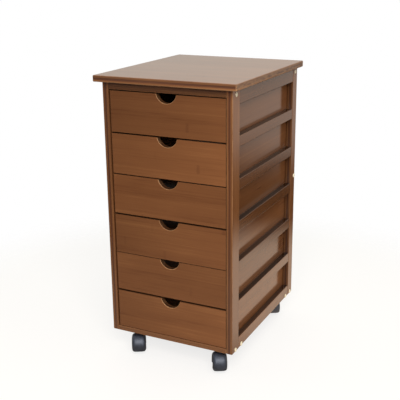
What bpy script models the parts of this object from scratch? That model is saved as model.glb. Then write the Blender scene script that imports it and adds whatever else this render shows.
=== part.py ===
"""Storage drawer unit on four twin-wheel casters, made of laminated bamboo boards with a brown stain.

Metres, +Z up. The origin is on the floor under the middle of the unit, and the drawer fronts face -Y.
"""

import math

import bmesh
import bpy
from mathutils import Matrix

for old in list(bpy.data.objects):
    bpy.data.objects.remove(old, do_unlink=True)


# Driving dimensions of the whole unit

WIDTH = 0.330
DEPTH = 0.390
HEIGHT = 0.641
DRAWERS = 6
SEAM = 0.0003  # left between pieces that touch
CUT_OVERRUN = 0.002  # how far each cutter runs past the face that it opens
MERGE_DISTANCE = 0.000003  # turned points this close are one
SHARP_ANGLE = 32  # degrees between two faces, from which their edge is shaded as a corner
EASING_STEPS = 2

# Top panel

TOP_THICKNESS = 0.014
TOP_OVERHANG_FRONT = 0.015
TOP_OVERHANG_SIDE = 0.014
TOP_EASING = 0.0020

# Side frames: four stiles with rails between them

STOCK = 0.014
ARRIS = 0.0011
FRONT_STILE_WIDTH = 0.035
REAR_STILE_WIDTH = 0.027
RAIL_RECESS = 0.0005
TOP_RAIL_HEIGHT = 0.033
MIDDLE_RAIL_HEIGHT = 0.023
BOTTOM_RAIL_HEIGHT = 0.0265
RAIL_TOP_ABOVE_GAP = 0.0105  # from the middle of the gap between two drawers
RUNNER_WIDTH = 0.014
RUNNER_HEIGHT = 0.014
RUNNER_BELOW_RAIL = 0.0005
RUNNER_TONGUE = 0.005  # how far the runner is let into the rail
RUNNER_ARRIS = 0.0015

# Boards that join the side frames

FRONT_STRETCHER_THICKNESS = 0.016
REAR_STRETCHER_THICKNESS = 0.016
BOTTOM_BOARD_THICKNESS = 0.012
FRONT_BOTTOM_BOARD_DEPTH = 0.068
REAR_BOTTOM_BOARD_DEPTH = 0.056
REAR_SLAT_THICKNESS = 0.012
REAR_SLAT_HEIGHT = 0.040
REAR_SLAT_ABOVE_GAP = 0.0247  # its middle, above the middle gap between the drawers

# Drawers

DRAWER_GAP = 0.0018
DRAWER_SIDE_GAP = 0.0026
DRAWER_REAR_GAP = 0.003
FRONT_THICKNESS = 0.012
FRONT_ARRIS = 0.0009
FINGER_WIDTH = 0.0468
FINGER_DEPTH = 0.0206
FINGER_STEPS = 18
SIDE_THICKNESS = 0.009
SIDE_BELOW_GAP = 0.0055  # top edge of a drawer side, below the middle of the gap over its front
SIDE_ARRIS = 0.0009
BACK_THICKNESS = 0.008
BACK_DROP = 0.006  # top edge of the back, below that of the sides
PANEL_THICKNESS = 0.004
PANEL_RISE = 0.006  # underside of the bottom panel, above the bottom edge of the sides
GROOVE_DEPTH = 0.004

# Casters

WHEEL_RADIUS = 0.020
WHEEL_ROOM = 0.0012
WHEEL_WIDTH = 0.0104
WHEEL_INNER_CHAMFER = 0.0014
TREAD_CORNER = 0.0020
HUB_RADIUS = 0.0100
HUB_RISE = 0.0012
WEB_THICKNESS = 0.0050
WEB_CLEARANCE = 0.0006
AXLE_RADIUS = 0.0025
AXLE_CLEARANCE = 0.0003
HOOD_WALL = 0.0022
HOOD_SIDE_WALL = 0.0019
HOOD_LIP_RADIUS = 0.0115
HOOD_SIDE_ROOM = 0.0006
HOOD_REAR_EDGE = 0.0065  # height of the hood's edge behind the wheels
HOOD_FRONT_EDGE = 0.0170  # height of the hood's edge under the stem
TRAIL = 0.024
BOSS_RADIUS = 0.0075
BOSS_TIP_RADIUS = 0.0050
BOSS_LENGTH = 0.0184  # below the flange
BOSS_TAPER = 0.0050
FLANGE_RADIUS = 0.0105
FLANGE_THICKNESS = 0.0018
STEM_RADIUS = 0.0040
STEM_CLEARANCE = 0.0003
RACE_RADIUS = 0.0110
RACE_HEIGHT = 0.0022
SWIVEL_NECK = 0.0043  # from the top of the hood to the underside of the plate
PLATE_SIDE = 0.038
PLATE_THICKNESS = 0.0020
PLATE_CORNER = 0.005
SCREW_HOLE_RADIUS = 0.0021
SCREW_HOLE_INSET = 0.0060
CASTER_FROM_SIDE = 0.048
CASTER_FROM_FRONT = 0.033
CASTER_FROM_REAR = 0.021
TURN_STEPS = 24
BOSS_STEPS = 20
BORE_STEPS = 16
SCREW_HOLE_STEPS = 10
PLATE_CORNER_STEPS = 3

# Outline of the hood's section, from its middle out to its lip, as shares of its half width and of its radius
HOOD_SHARES = ((0.0, 1.0), (0.45, 0.995), (0.72, 0.965), (0.90, 0.875), (0.985, 0.72))

# Direction from the stem to the wheels, in degrees from +X
SWIVEL_AT_REST = {
    "front_left": -60.0,
    "front_right": -60.0,
    "rear_left": -66.0,
    "rear_right": -57.0,
}


# Places worked out from the sizes above

HOOD_RADIUS = WHEEL_RADIUS + WHEEL_ROOM + HOOD_WALL
PLATE_UNDERSIDE = WHEEL_RADIUS + HOOD_RADIUS + SWIVEL_NECK
CASE_BOTTOM = PLATE_UNDERSIDE + PLATE_THICKNESS + SEAM
CASE_TOP = HEIGHT - TOP_THICKNESS
CASE_HALF = WIDTH / 2 - TOP_OVERHANG_SIDE
CASE_FRONT = -DEPTH / 2 + TOP_OVERHANG_FRONT
CASE_REAR = DEPTH / 2
STILE_INNER = CASE_HALF - STOCK
RAIL_FRONT = CASE_FRONT + FRONT_STILE_WIDTH + SEAM
RAIL_REAR = CASE_REAR - REAR_STILE_WIDTH - SEAM
RAIL_OUTER = CASE_HALF - RAIL_RECESS

FLOOR_OF_DRAWERS = CASE_BOTTOM + BOTTOM_BOARD_THICKNESS
RUNNER_TOP_ABOVE_GAP = RAIL_TOP_ABOVE_GAP - RUNNER_BELOW_RAIL
OPENING_HEIGHT = CASE_TOP - SEAM - FRONT_STRETCHER_THICKNESS - FLOOR_OF_DRAWERS
FRONT_HEIGHT = (OPENING_HEIGHT - (DRAWERS + 1) * DRAWER_GAP) / DRAWERS
PITCH = FRONT_HEIGHT + DRAWER_GAP
DRAWER_HALF = STILE_INNER - DRAWER_SIDE_GAP
DRAWER_INNER = DRAWER_HALF - SIDE_THICKNESS
FRONT_BACK = CASE_FRONT + FRONT_THICKNESS
RUNNER_FRONT = FRONT_BACK + SEAM
RUNNER_REAR = CASE_REAR - REAR_SLAT_THICKNESS - SEAM
DRAWER_REAR = CASE_REAR - REAR_SLAT_THICKNESS - DRAWER_REAR_GAP


def gap_height(index):
    """Height of the middle of the gap under drawer number index, counted from the bottom and from 0."""
    return FLOOR_OF_DRAWERS + DRAWER_GAP / 2 + index * PITCH


# Materials

BAMBOO = {"roughness": 0.34, "metallic": 0.0}
FINISHES = {
    "top": {"colour": (184, 158, 138), **BAMBOO},
    "stile": {"colour": (112, 74, 50), **BAMBOO},
    "rail": {"colour": (124, 92, 70), **BAMBOO},
    "board": {"colour": (106, 68, 44), **BAMBOO},
    "drawer_front": {"colour": (114, 70, 43), **BAMBOO},
    "drawer_side": {"colour": (104, 66, 42), **BAMBOO},
    "drawer_tray": {"colour": (120, 82, 54), **BAMBOO},
    "zinc": {"colour": (118, 120, 122), "roughness": 0.38, "metallic": 1.0},
    "housing": {"colour": (34, 36, 40), "roughness": 0.36, "metallic": 0.0},
    "wheel": {"colour": (24, 25, 27), "roughness": 0.55, "metallic": 0.0},
}


def linear(byte):
    """One 0 to 255 screen value as the linear value that a shader takes."""
    share = byte / 255
    return share / 12.92 if share <= 0.04045 else ((share + 0.055) / 1.055) ** 2.4


def make_material(name, finish):
    material = bpy.data.materials.new(name)
    material.use_nodes = True
    shader = material.node_tree.nodes["Principled BSDF"]
    colour = [linear(byte) for byte in finish["colour"]]
    shader.inputs["Base Color"].default_value = (*colour, 1.0)
    shader.inputs["Roughness"].default_value = finish["roughness"]
    shader.inputs["Metallic"].default_value = finish["metallic"]
    material.diffuse_color = (*colour, 1.0)
    return material


# Modelling helpers

def add_empty(name, location, turn=0.0):
    empty = bpy.data.objects.new(name, None)
    empty.location = location
    empty.rotation_euler = (0, 0, turn)
    bpy.context.scene.collection.objects.link(empty)
    return empty


def add_part(name, mesh, finish, location=(0, 0, 0), parent=None):
    """One piece of the unit, with its own material."""
    part = bpy.data.objects.new(name, mesh)
    part.location = location
    part.parent = parent
    bpy.context.scene.collection.objects.link(part)
    if not mesh.materials:
        mesh.materials.append(None)
    part.material_slots[0].link = "OBJECT"
    part.material_slots[0].material = make_material(name, FINISHES[finish])
    return part


def finished_mesh(name, bm):
    """The mesh of a bmesh, shaded smooth but for its real corners."""
    bmesh.ops.recalc_face_normals(bm, faces=bm.faces)
    mesh = bpy.data.meshes.new(name)
    bm.to_mesh(mesh)
    bm.free()
    mesh.shade_smooth()
    mesh.set_sharp_from_angle(angle=math.radians(SHARP_ANGLE))
    return mesh


def ease(bm, width, chosen, segments=EASING_STEPS):
    """Rounds over the edges for which chosen(edge) is true."""
    edges = [edge for edge in bm.edges if chosen(edge)]
    bmesh.ops.bevel(bm, geom=edges, offset=width, segments=segments, profile=0.5, affect="EDGES")


def board_mesh(name, size, easing):
    """A board with all its arrises eased, centred on its origin."""
    bm = bmesh.new()
    bmesh.ops.create_cube(bm, size=1)
    bmesh.ops.scale(bm, vec=size, verts=bm.verts)
    ease(bm, easing, lambda edge: True)
    return finished_mesh(name, bm)


def add_board(name, x, y, z, finish, parent=None, easing=ARRIS):
    """A board between the given pairs of limits."""
    size = [high - low for low, high in (x, y, z)]
    middle = [(low + high) / 2 for low, high in (x, y, z)]
    return add_part(name, board_mesh(name, size, easing), finish, middle, parent)


def extruded(outline, travel):
    """A bmesh prism: the outline's face, extruded by the travel."""
    bm = bmesh.new()
    face = bm.faces.new([bm.verts.new(point) for point in outline])
    grown = bmesh.ops.extrude_face_region(bm, geom=[face])["geom"]
    moved = [item for item in grown if isinstance(item, bmesh.types.BMVert)]
    bmesh.ops.translate(bm, vec=travel, verts=moved)
    bmesh.ops.recalc_face_normals(bm, faces=bm.faces)
    return bm


def turned_mesh(name, profile, steps=TURN_STEPS):
    """A solid turned about Z from (radius, height) points that start and end on the axis."""
    bm = bmesh.new()
    points = [bm.verts.new((radius, 0, height)) for radius, height in profile]
    edges = [bm.edges.new(pair) for pair in zip(points, points[1:])]
    bmesh.ops.spin(
        bm, geom=points + edges, cent=(0, 0, 0), axis=(0, 0, 1), angle=math.tau, steps=steps, use_merge=True
    )
    bmesh.ops.remove_doubles(bm, verts=bm.verts, dist=MERGE_DISTANCE)
    return finished_mesh(name, bm)


def add_tool(mesh, location=(0, 0, 0), tilt=(0, 0, 0)):
    """A shape that is only joined to a blank or cut from it."""
    tool = bpy.data.objects.new(mesh.name, mesh)
    tool.location = location
    tool.rotation_euler = tilt
    tool.hide_render = True
    tool.display_type = "WIRE"
    bpy.context.scene.collection.objects.link(tool)
    return tool


def combine(blank, operation, tool):
    """Joins the tool to the blank or cuts it away, and removes the tool."""
    modifier = blank.modifiers.new(operation.lower(), "BOOLEAN")
    modifier.operation = operation
    modifier.solver = "EXACT"
    modifier.object = tool
    bpy.context.view_layer.update()
    graph = bpy.context.evaluated_depsgraph_get()
    result = bpy.data.meshes.new_from_object(blank.evaluated_get(graph))
    blank.modifiers.clear()
    blank.data = result
    bpy.data.objects.remove(tool)


def finish_blank(blank, name):
    """Takes the mesh from a worked blank, in the place where it was worked, for the parts that share it."""
    bpy.context.view_layer.update()
    mesh = blank.data
    mesh.name = name
    mesh.transform(blank.matrix_world)
    bpy.data.objects.remove(blank)
    mesh.shade_smooth()
    mesh.set_sharp_from_angle(angle=math.radians(SHARP_ANGLE))
    return mesh


def box_tool(name, x, y, z):
    """A plain block between the given pairs of limits, to cut with."""
    bm = bmesh.new()
    bmesh.ops.create_cube(bm, size=1)
    bmesh.ops.scale(bm, vec=[high - low for low, high in (x, y, z)], verts=bm.verts)
    bmesh.ops.translate(bm, vec=[(low + high) / 2 for low, high in (x, y, z)], verts=bm.verts)
    return add_tool(finished_mesh(name, bm))


# Top panel: laid on the side frames and stretchers, flush with them at the rear

add_board(
    "top_panel",
    (-WIDTH / 2, WIDTH / 2),
    (-DEPTH / 2, DEPTH / 2),
    (CASE_TOP, HEIGHT),
    "top",
    easing=TOP_EASING,
)


# Side frames: a front and a rear stile with seven rails between them, all butt-jointed flush inside

def mirrored_mesh(name, mesh):
    """The left-hand twin of a right-hand piece."""
    bm = bmesh.new()
    bm.from_mesh(mesh)
    bmesh.ops.scale(bm, vec=(-1, 1, 1), verts=bm.verts)
    return finished_mesh(name, bm)


def rail_with_runner(name, low, top, runner_low, runner_top):
    """A right-hand side rail with the runner inside it that carries a drawer.

    The runner is cut from its plan: a strip past both stiles, and between them a tongue let into the rail.
    """
    size = (RAIL_OUTER - STILE_INNER, RAIL_REAR - RAIL_FRONT, top - low)
    blank = add_tool(board_mesh(name, size, ARRIS))
    blank.location = ((RAIL_OUTER + STILE_INNER) / 2, (RAIL_REAR + RAIL_FRONT) / 2, (top + low) / 2)
    outer = STILE_INNER - SEAM
    inner = STILE_INNER - RUNNER_WIDTH
    tongue = STILE_INNER + RUNNER_TONGUE
    plan = [
        (inner, RUNNER_FRONT),
        (outer, RUNNER_FRONT),
        (outer, RAIL_FRONT),
        (tongue, RAIL_FRONT),
        (tongue, RAIL_REAR),
        (outer, RAIL_REAR),
        (outer, RUNNER_REAR),
        (inner, RUNNER_REAR),
    ]
    bm = extruded([(x, y, runner_low) for x, y in plan], (0, 0, runner_top - runner_low))
    ease(bm, RUNNER_ARRIS, lambda edge: all(v.co.x < outer and v.co.z > runner_low for v in edge.verts))
    combine(blank, "UNION", add_tool(finished_mesh("runner", bm)))
    return finish_blank(blank, name)


def add_side_pair(name, mesh, finish, height=0.0):
    """A right-hand piece and its left-hand twin."""
    add_part(name + "_right", mesh, finish, (0, 0, height))
    add_part(name + "_left", mirrored_mesh(name + "_left", mesh), finish, (0, 0, height))


stile_height = (CASE_BOTTOM, CASE_TOP - SEAM)
for side, x in (("left", (-CASE_HALF, -STILE_INNER)), ("right", (STILE_INNER, CASE_HALF))):
    add_board("stile_front_" + side, x, (CASE_FRONT, CASE_FRONT + FRONT_STILE_WIDTH), stile_height, "stile")
    add_board("stile_rear_" + side, x, (CASE_REAR - REAR_STILE_WIDTH, CASE_REAR), stile_height, "stile")

top_rail_mesh = board_mesh(
    "side_rail_top", (RAIL_OUTER - STILE_INNER, RAIL_REAR - RAIL_FRONT, TOP_RAIL_HEIGHT), ARRIS
)
for side, sign in (("left", -1), ("right", 1)):
    middle = (
        sign * (RAIL_OUTER + STILE_INNER) / 2,
        (RAIL_REAR + RAIL_FRONT) / 2,
        CASE_TOP - SEAM - TOP_RAIL_HEIGHT / 2,
    )
    add_part("side_rail_top_" + side, top_rail_mesh, "rail", middle)

middle_rail_mesh = rail_with_runner(
    "side_rail_middle",
    RAIL_TOP_ABOVE_GAP - MIDDLE_RAIL_HEIGHT,
    RAIL_TOP_ABOVE_GAP,
    RUNNER_TOP_ABOVE_GAP - RUNNER_HEIGHT,
    RUNNER_TOP_ABOVE_GAP,
)
for index in range(1, DRAWERS):
    add_side_pair(f"side_rail_{DRAWERS - index}", middle_rail_mesh, "rail", gap_height(index))

bottom_rail_mesh = rail_with_runner(
    "side_rail_bottom",
    CASE_BOTTOM,
    CASE_BOTTOM + BOTTOM_RAIL_HEIGHT,
    FLOOR_OF_DRAWERS + SEAM,
    gap_height(0) + RUNNER_TOP_ABOVE_GAP,
)
add_side_pair("side_rail_bottom", bottom_rail_mesh, "rail")


# Boards that join the side frames: stretchers under the top panel, a slat at the rear, and two bottom boards

between_frames = (-STILE_INNER + SEAM, STILE_INNER - SEAM)
under_top = CASE_TOP - SEAM
slat_middle = gap_height(DRAWERS // 2) + REAR_SLAT_ABOVE_GAP

add_board(
    "front_stretcher_top",
    between_frames,
    (CASE_FRONT, CASE_FRONT + FRONT_STILE_WIDTH),
    (under_top - FRONT_STRETCHER_THICKNESS, under_top),
    "board",
)
add_board(
    "rear_stretcher_top",
    between_frames,
    (CASE_REAR - REAR_STILE_WIDTH, CASE_REAR),
    (under_top - REAR_STRETCHER_THICKNESS, under_top),
    "board",
)
add_board(
    "rear_slat_middle",
    between_frames,
    (CASE_REAR - REAR_SLAT_THICKNESS, CASE_REAR),
    (slat_middle - REAR_SLAT_HEIGHT / 2, slat_middle + REAR_SLAT_HEIGHT / 2),
    "board",
)
add_board(
    "bottom_board_front",
    between_frames,
    (CASE_FRONT, CASE_FRONT + FRONT_BOTTOM_BOARD_DEPTH),
    (CASE_BOTTOM, FLOOR_OF_DRAWERS),
    "board",
)
add_board(
    "bottom_board_rear",
    between_frames,
    (CASE_REAR - REAR_BOTTOM_BOARD_DEPTH, CASE_REAR),
    (CASE_BOTTOM, FLOOR_OF_DRAWERS),
    "board",
)


# Drawers: each hangs from an empty at the middle of the gap under its front

side_low = RUNNER_TOP_ABOVE_GAP + SEAM
side_high = PITCH - SIDE_BELOW_GAP
panel_low = side_low + PANEL_RISE
panel_high = panel_low + PANEL_THICKNESS
front_low = DRAWER_GAP / 2
front_high = front_low + FRONT_HEIGHT


def front_mesh():
    """The front: a half-moon finger cut-out in its top edge, and a groove behind it for the bottom panel."""
    half = FINGER_WIDTH / 2
    radius = (half ** 2 + FINGER_DEPTH ** 2) / (2 * FINGER_DEPTH)
    centre = front_high - FINGER_DEPTH + radius
    spread = math.atan2(half, centre - front_high)
    outline = [(-DRAWER_HALF, front_low), (DRAWER_HALF, front_low), (DRAWER_HALF, front_high)]
    for step in range(FINGER_STEPS + 1):
        angle = spread * (1 - 2 * step / FINGER_STEPS)
        outline.append((radius * math.sin(angle), centre - radius * math.cos(angle)))
    outline.append((-DRAWER_HALF, front_high))
    bm = extruded([(x, CASE_FRONT, z) for x, z in outline], (0, FRONT_THICKNESS, 0))
    ease(bm, FRONT_ARRIS, lambda edge: all(v.co.y < CASE_FRONT + SEAM for v in edge.verts))
    blank = add_tool(finished_mesh("drawer_front", bm))
    groove = box_tool(
        "groove",
        (-DRAWER_INNER - GROOVE_DEPTH, DRAWER_INNER + GROOVE_DEPTH),
        (FRONT_BACK - GROOVE_DEPTH, FRONT_BACK + CUT_OVERRUN),
        (panel_low - SEAM, panel_high + SEAM),
    )
    combine(blank, "DIFFERENCE", groove)
    return finish_blank(blank, "drawer_front")


def side_mesh():
    """The right-hand side: its section, with the groove for the bottom panel, extruded from front to rear."""
    groove = DRAWER_INNER + GROOVE_DEPTH
    section = [
        (DRAWER_INNER, side_low),
        (DRAWER_HALF, side_low),
        (DRAWER_HALF, side_high),
        (DRAWER_INNER, side_high),
        (DRAWER_INNER, panel_high + SEAM),
        (groove, panel_high + SEAM),
        (groove, panel_low - SEAM),
        (DRAWER_INNER, panel_low - SEAM),
    ]
    bm = extruded([(x, RUNNER_FRONT, z) for x, z in section], (0, DRAWER_REAR - RUNNER_FRONT, 0))
    ease(
        bm,
        SIDE_ARRIS,
        lambda edge: edge.calc_length() > FRONT_HEIGHT
        and (edge.verts[0].co.z < side_low + SEAM or edge.verts[0].co.z > side_high - SEAM),
    )
    return finished_mesh("drawer_side_right", bm)


def tray_mesh():
    """The back and the bottom panel: the panel with its tongues in the grooves, and the back stood on it."""
    inner = DRAWER_INNER - SEAM
    tongue = DRAWER_INNER + GROOVE_DEPTH - SEAM
    plan = [
        (-tongue, FRONT_BACK - GROOVE_DEPTH + SEAM),
        (tongue, FRONT_BACK - GROOVE_DEPTH + SEAM),
        (tongue, DRAWER_REAR),
        (-tongue, DRAWER_REAR),
    ]
    bm = extruded([(x, y, panel_low) for x, y in plan], (0, 0, PANEL_THICKNESS))
    panel = add_tool(finished_mesh("drawer_tray", bm))
    back_size = (2 * inner, BACK_THICKNESS, side_high - BACK_DROP - panel_low)
    back = add_tool(board_mesh("back", back_size, SIDE_ARRIS))
    back.location = (0, DRAWER_REAR - BACK_THICKNESS / 2, panel_low + back_size[2] / 2)
    combine(panel, "UNION", back)
    return finish_blank(panel, "drawer_tray")


shared_front = front_mesh()
shared_side_right = side_mesh()
shared_side_left = mirrored_mesh("drawer_side_left", shared_side_right)
shared_tray = tray_mesh()
for number in range(1, DRAWERS + 1):
    slide = add_empty(f"slide_{number}", (0, 0, gap_height(DRAWERS - number)))
    add_part(f"drawer_{number}_front", shared_front, "drawer_front", parent=slide)
    add_part(f"drawer_{number}_side_left", shared_side_left, "drawer_side", parent=slide)
    add_part(f"drawer_{number}_side_right", shared_side_right, "drawer_side", parent=slide)
    add_part(f"drawer_{number}_tray", shared_tray, "drawer_tray", parent=slide)


# Casters: everything is modelled with the stem on Z and the wheels towards +X, and turned by the swivel empty

def turned_tool(name, profile, across=None, steps=TURN_STEPS):
    """A turned shape to join or cut with. With across it lies on the wheels' axis, centred there."""
    tool = add_tool(turned_mesh(name, profile, steps))
    if across is not None:
        tool.rotation_euler = (math.radians(90), 0, 0)
        tool.location = (TRAIL, across, WHEEL_RADIUS)
    return tool


def drill(name, radius, low, high, steps):
    """A plain round tool for a hole along Z."""
    return turned_tool(name, [(0, low), (radius, low), (radius, high), (0, high)], steps=steps)


def plate_mesh():
    """The mounting plate: a rounded square with four screw holes, a pressed race and the stem's hole."""
    half = PLATE_SIDE / 2
    bm = extruded(
        [(x * half, y * half, PLATE_UNDERSIDE) for x, y in ((-1, -1), (1, -1), (1, 1), (-1, 1))],
        (0, 0, PLATE_THICKNESS),
    )
    ease(bm, PLATE_CORNER, lambda edge: edge.verts[0].co.xy == edge.verts[1].co.xy, PLATE_CORNER_STEPS)
    blank = add_tool(finished_mesh("caster_plate", bm))
    race_low = PLATE_UNDERSIDE - RACE_HEIGHT
    race = [
        (0, race_low),
        (RACE_RADIUS - RACE_HEIGHT / 2, race_low),
        (RACE_RADIUS, race_low + RACE_HEIGHT / 2),
        (RACE_RADIUS, PLATE_UNDERSIDE + PLATE_THICKNESS / 2),
        (0, PLATE_UNDERSIDE + PLATE_THICKNESS / 2),
    ]
    combine(blank, "UNION", turned_tool("race", race, steps=BOSS_STEPS))
    hole_low = race_low - CUT_OVERRUN
    hole_high = PLATE_UNDERSIDE + PLATE_THICKNESS + CUT_OVERRUN
    stem_hole = STEM_RADIUS + STEM_CLEARANCE
    combine(blank, "DIFFERENCE", drill("stem_hole", stem_hole, hole_low, hole_high, BORE_STEPS))
    for x in (-1, 1):
        for y in (-1, 1):
            hole = drill("screw_hole", SCREW_HOLE_RADIUS, hole_low, hole_high, SCREW_HOLE_STEPS)
            hole.location = (x * (half - SCREW_HOLE_INSET), y * (half - SCREW_HOLE_INSET), 0)
            combine(blank, "DIFFERENCE", hole)
    return finish_blank(blank, "caster_plate")


wheel_outer = WEB_THICKNESS / 2 + WEB_CLEARANCE + WHEEL_WIDTH
room_outer = wheel_outer + HUB_RISE / 2 + HOOD_SIDE_ROOM
hood_half = room_outer + HOOD_SIDE_WALL


def housing_mesh():
    """The moulded housing: hood, web between the wheels, boss, flange and stem, as one moulding."""
    outer = [(HOOD_RADIUS * radius, hood_half * across) for across, radius in HOOD_SHARES]
    half_profile = [*outer, (HOOD_LIP_RADIUS, hood_half)]
    profile = [(0, -hood_half)] + [(r, -y) for r, y in reversed(half_profile)]
    profile += half_profile[1:] + [(0, hood_half)]
    blank = turned_tool("caster_housing", profile, across=0)

    flange_top = PLATE_UNDERSIDE - RACE_HEIGHT - SEAM
    flange_low = flange_top - FLANGE_THICKNESS
    boss_tip = flange_low - BOSS_LENGTH
    boss = [
        (0, boss_tip),
        (BOSS_TIP_RADIUS, boss_tip),
        (BOSS_RADIUS, boss_tip + BOSS_TAPER),
        (BOSS_RADIUS, flange_low - FLANGE_THICKNESS / 2),
        (FLANGE_RADIUS, flange_low),
        (FLANGE_RADIUS, flange_top),
        (STEM_RADIUS, flange_top),
        (STEM_RADIUS, PLATE_UNDERSIDE + PLATE_THICKNESS),
        (0, PLATE_UNDERSIDE + PLATE_THICKNESS),
    ]
    combine(blank, "UNION", turned_tool("boss", boss, steps=BOSS_STEPS))

    room_radius = WHEEL_RADIUS + WHEEL_ROOM
    room_width = room_outer - WEB_THICKNESS / 2
    inner = [
        (room_radius * radius, WEB_THICKNESS / 2 + room_width * across)
        for across, radius in HOOD_SHARES
        if across == 0 or across > 0.5
    ]
    mouth = hood_half + CUT_OVERRUN
    lip = [(HOOD_LIP_RADIUS, room_outer), (HOOD_LIP_RADIUS, mouth)]
    room = [(0, WEB_THICKNESS / 2), *inner, *lip, (0, mouth)]
    for sign in (-1, 1):
        combine(blank, "DIFFERENCE", turned_tool("room", [(r, sign * y) for r, y in room], across=0))

    reach = TRAIL + HOOD_RADIUS
    slope = (HOOD_REAR_EDGE - HOOD_FRONT_EDGE) / reach
    below = [
        (-reach, HOOD_FRONT_EDGE - slope * reach),
        (2 * reach, HOOD_FRONT_EDGE + slope * 2 * reach),
        (2 * reach, -reach),
        (-reach, -reach),
    ]
    cutter = extruded([(x, -reach, z) for x, z in below], (0, 2 * reach, 0))
    combine(blank, "DIFFERENCE", add_tool(finished_mesh("below", cutter)))

    bore = AXLE_RADIUS + AXLE_CLEARANCE
    bore_profile = [(0, -WEB_THICKNESS), (bore, -WEB_THICKNESS), (bore, WEB_THICKNESS), (0, WEB_THICKNESS)]
    combine(blank, "DIFFERENCE", turned_tool("bore", bore_profile, across=0, steps=BORE_STEPS))
    return finish_blank(blank, "caster_housing")


def wheel_set_mesh():
    """Both wheels and their axle, turned about Z and laid on the wheels' axis, which is Y."""
    inner = WEB_THICKNESS / 2 + WEB_CLEARANCE
    half = [
        (AXLE_RADIUS, inner),
        (WHEEL_RADIUS - WHEEL_INNER_CHAMFER, inner),
        (WHEEL_RADIUS, inner + WHEEL_INNER_CHAMFER),
        (WHEEL_RADIUS, wheel_outer - 2 * TREAD_CORNER),
        (WHEEL_RADIUS - TREAD_CORNER / 3, wheel_outer - TREAD_CORNER),
        (WHEEL_RADIUS - TREAD_CORNER, wheel_outer),
        (HUB_RADIUS, wheel_outer),
        (HUB_RADIUS - HUB_RISE / 2, wheel_outer + HUB_RISE),
        (0, wheel_outer + HUB_RISE),
    ]
    profile = [(r, -y) for r, y in reversed(half)] + half
    mesh = turned_mesh("caster_wheels", profile)
    mesh.transform(Matrix.Rotation(math.radians(90), 4, "X"))
    return mesh


shared_plate = plate_mesh()
shared_housing = housing_mesh()
shared_wheels = wheel_set_mesh()
stem_x = CASE_HALF - CASTER_FROM_SIDE
stem_y = {"front": CASE_FRONT + CASTER_FROM_FRONT, "rear": CASE_REAR - CASTER_FROM_REAR}
for corner, degrees in SWIVEL_AT_REST.items():
    end, side = corner.split("_")
    x = stem_x if side == "right" else -stem_x
    add_part("caster_plate_" + corner, shared_plate, "zinc", (x, stem_y[end], 0))
    swivel = add_empty("swivel_" + corner, (x, stem_y[end], 0), math.radians(degrees))
    add_part("caster_housing_" + corner, shared_housing, "housing", parent=swivel)
    add_part("caster_wheels_" + corner, shared_wheels, "wheel", (TRAIL, 0, WHEEL_RADIUS), swivel)
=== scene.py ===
"""Storage drawer unit of stained bamboo: six drawers in an open-sided case on four twin-wheel casters."""

import math
import random

import bmesh
import bpy
from mathutils import Matrix, Vector


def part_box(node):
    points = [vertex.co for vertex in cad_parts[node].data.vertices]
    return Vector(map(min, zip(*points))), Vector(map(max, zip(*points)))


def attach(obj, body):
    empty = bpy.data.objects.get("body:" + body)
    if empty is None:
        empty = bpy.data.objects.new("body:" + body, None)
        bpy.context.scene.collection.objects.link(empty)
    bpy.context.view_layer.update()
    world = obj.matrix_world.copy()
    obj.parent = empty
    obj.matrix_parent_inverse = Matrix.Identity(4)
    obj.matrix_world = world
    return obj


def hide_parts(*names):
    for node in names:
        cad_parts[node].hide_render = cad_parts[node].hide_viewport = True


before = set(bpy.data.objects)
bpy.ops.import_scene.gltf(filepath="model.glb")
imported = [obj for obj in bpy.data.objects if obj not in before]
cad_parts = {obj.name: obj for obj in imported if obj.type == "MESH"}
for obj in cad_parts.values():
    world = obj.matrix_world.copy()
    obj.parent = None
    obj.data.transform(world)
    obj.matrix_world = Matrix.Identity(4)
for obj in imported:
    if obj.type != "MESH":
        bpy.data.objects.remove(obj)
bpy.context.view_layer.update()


# Stiles
# The four uprights of the case, sawn from three-ply bamboo board with the strips running up them.
# The board is stained walnut brown and lacquered, and its plies show in the narrow front and rear faces.

X, Y, Z = 0, 1, 2
SEAM = 0.0003
STILE_ROUNDING = 0.0012
ROUNDING_STEPS = 3
ROUND_ARC = 0.5  # the bevel profile that is a quarter round
STRIP_WIDTH = 0.0195
NODE_SPACING = 0.270
NODE_HALF = 0.0055
STRIP_SHIFT = 0.37  # of the spacing, from the nodes of one strip to those of the next
CANE_REACH = 4.0  # a board may come from anywhere along this much cane to either side
LOOKS_ALONG = 0.7  # a face looks along an axis where its normal has at least this share of it

FIBRE_WAVES = (16.0, 900.0, 0.0)  # to the metre along and across the strips, and to the thickness
STREAK_WAVES = (3.0, 230.0, 0.0)
CLOUD_WAVES = (6.0, 18.0, 0.0)
BEND_WAVES = (90.0, 120.0, 0.0)
LAYER_WAVES = (6.0, 6.0, 16.0)
TEAR_WAVES = (0.0, 55.0, 5.0)
PATCH_WAVES = (45.0, 45.0, 2.0)
FIBROUS = {"detail": 3.0, "roughness": 0.6}
STRIP_CONTRAST = 0.20
FIBRE_CONTRAST = 0.50
STREAK_CONTRAST = 0.60
CLOUD_CONTRAST = 0.50
TONE_REACH = 0.40
CANE_CHANCES = 31.0  # more than the nodes in a strip, so that no two strips show the same ones
NODE_CHANCE = (0.55, 1.0)
NODE_STRENGTH = 0.34
LAYER_FADE = (0.32, 0.68)
CORE_EDGE = (0.19, 0.15)  # shares of the thickness, from the middle of the board
TEAR_FADE = (0.42, 0.60)
TEAR_STRENGTH = (0.1, 0.9)
PATCH_FADE = (0.25, 0.70)
RUBBED_STRENGTH = (0.35, 0.85)
STREAK_SHEEN = 0.06
RUBBED_SHEEN = 0.06
NODE_RELIEF = 0.8
GRAIN_RELIEF = 0.0002
GRAIN_STRENGTH = 0.06
CASE_SHEEN = 0.16
CASE_LACQUER = 0.6
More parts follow.
